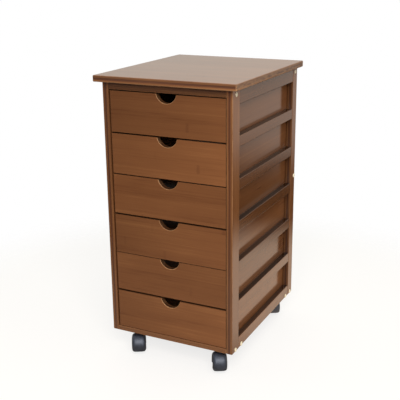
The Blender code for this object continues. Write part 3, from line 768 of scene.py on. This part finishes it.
def worked(blank, steps):
    """The blank after each step: UNION joins a shape to it, and DIFFERENCE cuts one away."""
    work = set_down("blank", blank)
    tools = []
    for operation, shape in steps:
        tools.append(set_down("tool", shape))
        cut = work.modifiers.new(operation, "BOOLEAN")
        cut.operation = operation
        cut.solver = "EXACT"
        cut.object = tools[-1]
    bpy.context.view_layer.update()
    result = bmesh.new()
    result.from_object(work, bpy.context.evaluated_depsgraph_get())
    for used in (work, *tools):
        bpy.data.objects.remove(used)
    return result


def arc(radius, across, width, start, end):
    """Points of a quarter round of the given width about a point of a profile."""
    points = []
    for step in range(ROUNDING_STEPS + 1):
        turn = math.radians(start + (end - start) * step / ROUNDING_STEPS)
        points.append((radius + width * math.cos(turn), across + width * math.sin(turn)))
    return points


def bar(radius, low, high):
    """The profile of a plain round bar."""
    return [(0, low), (radius, low), (radius, high), (0, high)]


def plate_bm():
    """The plate with its rounded corners and screw holes, and the pressed race under it."""
    blank = sawn_block((-plate_half, plate_half), (-plate_half, plate_half), (plate_low, plate_top))
    uprights = [edge for edge in blank.edges if edge.verts[0].co.xy == edge.verts[1].co.xy]
    rounding = {"profile": ROUND_ARC, "affect": "EDGES"}
    bmesh.ops.bevel(blank, geom=uprights, offset=PLATE_CORNER, segments=PLATE_CORNER_STEPS, **rounding)
    rims = [edge for edge in blank.edges if edge.calc_face_angle(0) > math.radians(SQUARE_ENOUGH)]
    bmesh.ops.bevel(blank, geom=rims, offset=PLATE_EASING, segments=PLATE_EASING_STEPS, **rounding)
    race_low = plate_low - RACE_HEIGHT
    race = turned(
        [
            (0, race_low),
            *arc(RACE_RADIUS - RACE_HEIGHT / 2, race_low + RACE_HEIGHT / 2, RACE_HEIGHT / 2, -90, 0),
            (RACE_RADIUS, plate_low + PLATE_THICKNESS / 2),
            (0, plate_low + PLATE_THICKNESS / 2),
        ],
        CASTER_STEPS // 2,
    )
    drilled = (race_low - CUT_OVERRUN, plate_top + CUT_OVERRUN)
    stem_hole = turned(bar(STEM_RADIUS + STEM_CLEARANCE, *drilled), BORE_STEPS)
    steps = [("UNION", race), ("DIFFERENCE", stem_hole)]
    for x, y in screw_places:
        hole = turned(bar(SCREW_SHANK_RADIUS, *drilled), BORE_STEPS)
        bmesh.ops.translate(hole, vec=(x, y, 0), verts=hole.verts)
        steps.append(("DIFFERENCE", hole))
    return worked(blank, steps)


def screw_bm():
    """A pan-head screw driven up from below: its head with a cross recess, and the start of its shank."""
    head_low = plate_low - SCREW_HEAD_HEIGHT
    blank = turned(
        [
            (0, head_low),
            *[(SCREW_HEAD_RADIUS * out, head_low + SCREW_HEAD_HEIGHT * up) for out, up in PAN_SHARES],
            (SCREW_HEAD_RADIUS, plate_low - SCREW_SEAT),
            (SCREW_SHANK_RADIUS - SEAM, plate_low - SCREW_SEAT),
            (SCREW_SHANK_RADIUS - SEAM, plate_top),
            (0, plate_top),
        ],
        BORE_STEPS,
    )
    width = (-RECESS_WIDTH / 2, RECESS_WIDTH / 2)
    length = (-RECESS_LENGTH / 2, RECESS_LENGTH / 2)
    depth = (head_low - CUT_OVERRUN, head_low + RECESS_DEPTH)
    slots = (sawn_block(length, width, depth), sawn_block(width, length, depth))
    return worked(blank, [("DIFFERENCE", slot) for slot in slots])


plate_x = limits("caster_plate_front_right")[X]
plate_half = (plate_x[1] - plate_x[0]) / 2
plate_top = limits("caster_plate_front_right")[Z][1]
plate_low = plate_top - PLATE_THICKNESS
screw_reach = plate_half - SCREW_INSET
screw_places = [(x * screw_reach, y * screw_reach) for x in (-1, 1) for y in (-1, 1)]

zinc = zinc_plate()
plate_master = plate_bm()
screw_master = screw_bm()


def stem_place(corner):
    """Where the stem of a corner's caster stands on the floor plan."""
    stem = middle("caster_plate_" + corner)
    return Matrix.Translation((stem[X], stem[Y], 0))


def add_plate(corner):
    """The plate of one caster, and the screws that hold it."""
    plate = "caster_plate_" + corner
    bm = plate_master.copy()
    bm.transform(stem_place(corner))
    add_piece("steel_" + plate, bm, zinc, "case", plate, CORNER_ANGLE)
    for number, (x, y) in enumerate(screw_places, start=1):
        bm = screw_master.copy()
        driven = Matrix.Rotation(lay_out.uniform(0, math.tau), 4, "Z")
        bm.transform(stem_place(corner) @ Matrix.Translation((x, y, 0)) @ driven)
        add_piece(f"screw_{number}_{corner}", bm, zinc, "case", plate, CORNER_ANGLE)


# Caster hoods
# A hood over the two wheels of each caster, moulded of black nylon in one with the web between the wheels
# and with the stem above. The stem turns in the race of the plate, so the wheels trail behind it.

AXLE_HEIGHT = 0.0200
AXLE_RADIUS = 0.0025
AXLE_CLEARANCE = 0.0003
TRAIL = 0.0240
HOOD_RADIUS = 0.0234
HOOD_HALF = 0.0166
HOOD_WALL = 0.0022
HOOD_SIDE_WALL = 0.0019
HOOD_FULLNESS = 4.5
ROOM_FULLNESS = 8
HOOD_CROWDING = 1.8
HOOD_CURVE_STEPS = 22
HOOD_LIP_RADIUS = 0.0115
HOOD_LIP_EASING = 0.0005
HOOD_REAR_EDGE = 0.0065
HOOD_FRONT_EDGE = 0.0170
WEB_HALF = 0.0025
BOSS_RADIUS = 0.0075
BOSS_TIP_RADIUS = 0.0050
BOSS_LENGTH = 0.0184
BOSS_TAPER = 0.0050
FLANGE_RADIUS = 0.0105
FLANGE_THICKNESS = 0.0018
DUSTY_BELOW = 0.012
MOTTLE_WAVES = (160.0, 160.0, 160.0)
MOTTLE_FADE = (0.3, 0.7)
MOTTLE_SHEEN = 0.12
PIMPLE_WAVES = (2600.0, 2600.0, 2600.0)
PIMPLE_RELIEF = 0.00006
PIMPLE_STRENGTH = 0.10
DUST_FADE = (0.40, 0.75)
DUST_STRENGTH = (0.05, 0.35)
DUST_SHEEN = 0.5
FLOOR_DUST = (112, 108, 101)
NYLON = (29, 32, 39)
NYLON_PALE = (41, 45, 55)
HOOD_SHEEN = 0.50
HOOD_SHINE = 1.0
WHITE = (1.0, 1.0, 1.0, 1.0)
# A painted bluish cast of daylight in the hoods' reflections.
HOOD_DAYLIGHT_TINT = (0.84, 0.88, 1.0, 1.0)


def moulded_nylon(name, dark, pale, sheen, shine=0.5, highlight_tint=WHITE):
    """Black nylon with the soft mottle and fine pimples of an eroded mould, and dust low down.

    The shine is how strongly the skin of the moulding mirrors, and its highlight tint is a painted
    bluish cast of daylight in its reflections.
    """
    finish, tree, shader = new_finish(name, sheen)
    shader.inputs["Specular IOR Level"].default_value = shine
    shader.inputs["Specular Tint"].default_value = highlight_tint
    place = add_node(tree, "TexCoord").outputs["Object"]
    mottle = noise(tree, place, MOTTLE_WAVES, detail=3.0)
    colour = tint(tree, fade(tree, mottle, *MOTTLE_FADE), linear(dark), linear(pale))
    worn = add_node(tree, "Attribute", attribute_name="wear").outputs["Fac"]
    dust = reckon(tree, "MULTIPLY", worn, fade(tree, mottle, *DUST_FADE, *DUST_STRENGTH))
    colour = tint(tree, dust, colour, linear(FLOOR_DUST))
    tree.links.new(colour, shader.inputs["Base Color"])
    gloss = reckon(tree, "MULTIPLY_ADD", mottle, MOTTLE_SHEEN, sheen - MOTTLE_SHEEN / 2)
    gloss = reckon(tree, "ADD", gloss, reckon(tree, "MULTIPLY", dust, DUST_SHEEN))
    tree.links.new(gloss, shader.inputs["Roughness"])
    raise_skin(tree, shader, noise(tree, place, PIMPLE_WAVES), PIMPLE_RELIEF, PIMPLE_STRENGTH)
    return finish


def on_axle(profile, steps=CASTER_STEPS):
    """A shape turned about the wheels' axle from (radius, distance from the middle) points."""
    bm = turned(profile, steps)
    bm.transform(Matrix.Translation((TRAIL, 0, AXLE_HEIGHT)) @ Matrix.Rotation(math.radians(90), 4, "X"))
    return bm


def hood_curve(radius, half, fullness):
    """Points across one half of the hood, from its middle to its lip, squarer the fuller it is."""
    last = math.acos((HOOD_LIP_RADIUS / radius) ** (fullness / 2))
    turns = [last * (step / HOOD_CURVE_STEPS) ** HOOD_CROWDING for step in range(HOOD_CURVE_STEPS + 1)]
    power = 2 / fullness
    return [(radius * math.cos(turn) ** power, half * math.sin(turn) ** power) for turn in turns]


def hood_bm():
    """The hood, the web between the wheels, and the boss, flange and stem above, which are one moulding."""
    half = hood_curve(HOOD_RADIUS, HOOD_HALF, HOOD_FULLNESS)[1:]
    side = half[-1][1]
    half.append((0, side))
    blank = on_axle([(radius, -across) for radius, across in reversed(half)] + half)

    flange_top = plate_low - RACE_HEIGHT - SEAM
    flange_low = flange_top - FLANGE_THICKNESS
    boss_tip = flange_low - BOSS_LENGTH
    boss = turned(
        [
            (0, boss_tip),
            (BOSS_TIP_RADIUS, boss_tip),
            (BOSS_RADIUS, boss_tip + BOSS_TAPER),
            (BOSS_RADIUS, flange_low - FLANGE_THICKNESS / 2),
            (FLANGE_RADIUS, flange_low),
            (FLANGE_RADIUS, flange_top),
            (STEM_RADIUS, flange_top),
            (STEM_RADIUS, plate_top),
            (0, plate_top),
        ],
        CASTER_STEPS // 2,
    )
    steps = [("UNION", boss)]

    room_curve = hood_curve(HOOD_RADIUS - HOOD_WALL, HOOD_HALF - HOOD_SIDE_WALL, ROOM_FULLNESS)
    inner = [point for point in room_curve if point[1] > WEB_HALF]
    mouth = [
        (HOOD_LIP_RADIUS, side - HOOD_LIP_EASING),
        (HOOD_LIP_RADIUS + HOOD_LIP_EASING, side + CUT_OVERRUN),
    ]
    room = [(0, WEB_HALF), (room_curve[0][0], WEB_HALF), *inner, *mouth, (0, side + CUT_OVERRUN)]
    for sign in (-1, 1):
        steps.append(("DIFFERENCE", on_axle([(radius, sign * across) for radius, across in room])))

    reach = TRAIL + HOOD_RADIUS
    slope = (HOOD_REAR_EDGE - HOOD_FRONT_EDGE) / reach
    below = sawn_block((-reach, 2 * reach), (-reach, reach), (-reach, 0))
    for vert in below.verts:
        if vert.co.z > -reach / 2:
            vert.co.z = HOOD_FRONT_EDGE + slope * vert.co.x
    steps.append(("DIFFERENCE", below))
    bore = bar(AXLE_RADIUS + AXLE_CLEARANCE, -2 * WEB_HALF, 2 * WEB_HALF)
    steps.append(("DIFFERENCE", on_axle(bore, BORE_STEPS)))

    bm = worked(blank, steps)
    wear = bm.verts.layers.float.new("wear")
    for vert in bm.verts:
        vert[wear] = max(0.0, 1 - vert.co.z / DUSTY_BELOW)
    return bm


hood_nylon = moulded_nylon("black nylon, hoods", NYLON, NYLON_PALE, HOOD_SHEEN, HOOD_SHINE, HOOD_DAYLIGHT_TINT)
hood_master = hood_bm()


def headed(corner):
    """The place of a caster's stem, turned so that the wheels trail where they stand in the frame."""
    stem = middle("caster_plate_" + corner)
    hub = middle("caster_wheels_" + corner)
    heading = math.atan2(hub[Y] - stem[Y], hub[X] - stem[X])
    return stem_place(corner) @ Matrix.Rotation(heading, 4, "Z")


def add_hood(corner):
    """The hood of one caster, which swivels."""
    housing = "caster_housing_" + corner
    swivel = "swivel_" + corner
    bm = hood_master.copy()
    bm.transform(headed(corner))
    add_piece("nylon_" + housing, bm, hood_nylon, swivel, housing, CORNER_ANGLE)


# Caster wheels
# Two wheels of harder black nylon under each hood, one at either side of the web. Each has a plain tread, a
# dished side and a raised hub cap, and both are pressed onto one steel axle that turns in the web.

WHEEL_RADIUS = AXLE_HEIGHT
WHEEL_INNER = 0.0031
WHEEL_OUTER = 0.0135
TREAD_ROUNDING = 0.0018
RIM_WIDTH = 0.0030
DISH_DEPTH = 0.0009
HUB_RADIUS = 0.0100
HUB_RISE = 0.0012
HUB_DIMPLE = 0.0028
WHEEL_NYLON = (29, 30, 34)
WHEEL_NYLON_PALE = (44, 46, 51)
WHEEL_SHEEN = 0.48

wheel_nylon = moulded_nylon("black nylon, wheels", WHEEL_NYLON, WHEEL_NYLON_PALE, WHEEL_SHEEN)


def wheel_bm(sign):
    """One wheel, on the side of the web given by the sign: tread, dished side and raised hub cap."""
    centre = WHEEL_RADIUS - TREAD_ROUNDING
    dish = WHEEL_OUTER - DISH_DEPTH
    cap = WHEEL_OUTER + HUB_RISE
    profile = [
        (0, WHEEL_INNER),
        *arc(centre, WHEEL_INNER + TREAD_ROUNDING, TREAD_ROUNDING, -90, 0),
        *arc(centre, WHEEL_OUTER - TREAD_ROUNDING, TREAD_ROUNDING, 0, 90),
        (WHEEL_RADIUS - RIM_WIDTH, WHEEL_OUTER),
        (WHEEL_RADIUS - RIM_WIDTH - DISH_DEPTH, dish),
        (HUB_RADIUS + DISH_DEPTH, dish),
        (HUB_RADIUS, WHEEL_OUTER),
        *arc(HUB_RADIUS - HUB_RISE, WHEEL_OUTER, HUB_RISE, 0, 90),
        (HUB_DIMPLE, cap),
        (HUB_DIMPLE - DISH_DEPTH / 2, cap - DISH_DEPTH / 2),
        (0, cap - DISH_DEPTH / 2),
    ]
    bm = on_axle([(radius, sign * across) for radius, across in profile])
    wear = bm.verts.layers.float.new("wear")
    for vert in bm.verts:
        from_axle = math.hypot(vert.co.x - TRAIL, vert.co.z - AXLE_HEIGHT)
        vert[wear] = 1.0 if from_axle > centre + TREAD_ROUNDING / 2 else 0.0
    return bm


def add_wheels(corner):
    """The two wheels of one caster and their axle, which turn together."""
    node = "caster_wheels_" + corner
    body = "wheels_" + corner
    for side, sign in (("left", 1), ("right", -1)):
        bm = wheel_bm(sign)
        bm.transform(headed(corner))
        name = f"nylon_wheel_{corner}_{side}"
        add_piece(name, bm, wheel_nylon, body, node, CORNER_ANGLE)
    bm = on_axle(bar(AXLE_RADIUS, -WHEEL_INNER, WHEEL_INNER), BORE_STEPS)
    bm.transform(headed(corner))
    add_piece("axle_" + corner, bm, zinc, body, node, CORNER_ANGLE)


for corner in CORNERS:
    add_plate(corner)
    add_hood(corner)
    add_wheels(corner)
for master in (plate_master, screw_master, hood_master):
    master.free()


# Studio
# A pale round table top under the unit in a white room, with one large soft lamp beside the camera.
# The camera stands where the photograph was taken from.

TABLE_RADIUS = 1.0
TABLE_FADE = 0.62
TABLE_STEPS = 96
TABLE_COLOUR = (0.88, 0.80, 0.70, 1.0)
TABLE_ROUGHNESS = 0.6
TABLE_GLOW_TINT = (1.0, 0.80, 0.62)
TABLE_GLOW_IN_FRONT = 0.15
TABLE_GLOW = 1.1
GLOW_SHARE = 0.7
TO_THE_BRIGHT_GLOW = (0.0, 0.30)  # to the rear and right in all, where the table's painted glow starts and is full
WARM_WALL = (0.68, 0.59, 0.52, 1.0)
COOL_WALL = (0.97, 1.0, 0.94, 1.0)
DAYLIGHT = (0.80, 0.87, 1.0, 1.0)
TABLE_EDGE = (-0.275, -0.215)  # this and the next three are heights in a direction of length 1
WALL_FOOT = (-0.17, 0.0)
LOW_TO_HIGH = (-0.08, 0.12)
DOWN_TO_TABLE = (-0.02, -0.12)
FRONT_TO_REAR = (-0.55, 0.10)  # how far such a direction goes to the rear
RIGHT_TO_LEFT = (0.30, 0.0)  # how far it goes to the right
WALL_ON_THE_RIGHT = 0.4
WALL_IN_FRONT = 0.35
LOW_IN_FRONT = 0.16
FILL = 0.70
FILL_IN_FRONT = 0.126
CAMERA_PLACE = (0.76005, -1.55365, 0.8745)
CAMERA_AZIMUTH = 26.436
CAMERA_ELEVATION = 17.411
CAMERA_ROLL = -0.592
CAMERA_LENS = 69.67
SENSOR_WIDTH = 36.0
KEY_WIDTH = 1.8
KEY_HEIGHT = 2.0
KEY_POWER = 84.0
KEY_PLACE = (1.2, -2.1, 1.95)
AIM = (0.0, 0.0, 0.30)


def table_finish():
    """Pale cream laminate that keeps a soft shadow, looks white to the camera, and ends in a soft rim.

    In reflections it glows with painted light, bright at the rear and on the right and dim in front.
    """
    finish, tree, shader = new_finish("pale table", TABLE_ROUGHNESS)
    shader.inputs["Base Color"].default_value = TABLE_COLOUR
    path = add_node(tree, "LightPath")
    seen = path.outputs["Is Camera Ray"]
    mirrored = path.outputs["Is Glossy Ray"]
    place = add_node(tree, "TexCoord").outputs["Object"]
    parts = add_node(tree, "SeparateXYZ", {0: place})
    diagonal = reckon(tree, "ADD", parts.outputs[X], parts.outputs[Y])
    # Painted light: the table's glow, as reflections see it, is bright to the rear right and dim in front.
    sheen = scaled(tree, TABLE_GLOW_TINT, fade(tree, diagonal, *TO_THE_BRIGHT_GLOW, TABLE_GLOW_IN_FRONT, 1.0))
    glow = add_node(tree, "Emission", {"Color": tint(tree, mirrored, WHITE, sheen), "Strength": TABLE_GLOW})
    share = reckon(tree, "MULTIPLY", reckon(tree, "ADD", seen, mirrored), GLOW_SHARE)
    lit = add_node(tree, "MixShader", {0: share, 1: shader.outputs[0], 2: glow.outputs[0]})
    radius = add_node(tree, "VectorMath", {0: place}, operation="LENGTH").outputs["Value"]
    rim = fade(tree, radius, TABLE_FADE, TABLE_RADIUS)
    clear = add_node(tree, "BsdfTransparent")
    faded = add_node(tree, "MixShader", {0: rim, 1: lit.outputs[0], 2: clear.outputs[0]})
    tree.links.new(faded.outputs[0], tree.nodes["Material Output"].inputs["Surface"])
    return finish


bm = bmesh.new()
bmesh.ops.create_circle(bm, cap_ends=True, segments=TABLE_STEPS, radius=TABLE_RADIUS)
table = set_down("table", bm)
table.data.materials.append(table_finish())

room = bpy.data.worlds.new("white room")
room.use_nodes = True
bpy.context.scene.world = room
tree = room.node_tree
facing = add_node(tree, "SeparateXYZ", {0: add_node(tree, "TexCoord").outputs["Generated"]})
path = add_node(tree, "LightPath")
above_table = fade(tree, facing.outputs[Z], *TABLE_EDGE)
fill = fade(tree, facing.outputs[Y], *FRONT_TO_REAR, FILL_IN_FRONT, FILL)
left_wall = fade(tree, facing.outputs[X], *RIGHT_TO_LEFT, WALL_ON_THE_RIGHT, 1.0)
low_on_the_right = fade(tree, facing.outputs[Z], *DOWN_TO_TABLE)
beside = reckon(tree, "MAXIMUM", left_wall, low_on_the_right)
in_front = fade(tree, facing.outputs[Z], *LOW_TO_HIGH, LOW_IN_FRONT, WALL_IN_FRONT)
from_front = fade(tree, facing.outputs[Y], *FRONT_TO_REAR, in_front, 1.0)
mirrored = reckon(tree, "MULTIPLY", beside, from_front)
glossy = reckon(tree, "MULTIPLY", path.outputs["Is Glossy Ray"], reckon(tree, "SUBTRACT", mirrored, fill))
level = reckon(tree, "MULTIPLY", above_table, reckon(tree, "ADD", glossy, fill))
wall = tint(tree, fade(tree, facing.outputs[Z], *WALL_FOOT), WARM_WALL, COOL_WALL)
wall = tint(tree, fade(tree, facing.outputs[Y], *reversed(FRONT_TO_REAR)), wall, DAYLIGHT)
lit_wall = scaled(tree, wall, level)
backdrop = tree.nodes["Background"]
tree.links.new(tint(tree, path.outputs["Is Camera Ray"], lit_wall, WHITE), backdrop.inputs["Color"])

lamp = bpy.data.lights.new("soft lamp", "AREA")
lamp.shape = "RECTANGLE"
lamp.size = KEY_WIDTH
lamp.size_y = KEY_HEIGHT
lamp.energy = KEY_POWER
lamp_stand = bpy.data.objects.new("soft lamp", lamp)
lamp_stand.location = KEY_PLACE
lamp_stand.rotation_euler = (Vector(KEY_PLACE) - Vector(AIM)).to_track_quat("Z", "Y").to_euler()
bpy.context.scene.collection.objects.link(lamp_stand)

lens = bpy.data.cameras.new("camera")
lens.lens = CAMERA_LENS
lens.sensor_width = SENSOR_WIDTH
camera = bpy.data.objects.new("camera", lens)
camera.location = CAMERA_PLACE
turn = Matrix.Rotation(math.radians(CAMERA_AZIMUTH), 3, "Z")
tilt = Matrix.Rotation(math.radians(90 - CAMERA_ELEVATION), 3, "X")
roll = Matrix.Rotation(math.radians(CAMERA_ROLL), 3, "Z")
camera.rotation_euler = (turn @ tilt @ roll).to_euler()
bpy.context.scene.collection.objects.link(camera)
bpy.context.scene.camera = camera
bpy.context.scene.view_settings.view_transform = "Standard"
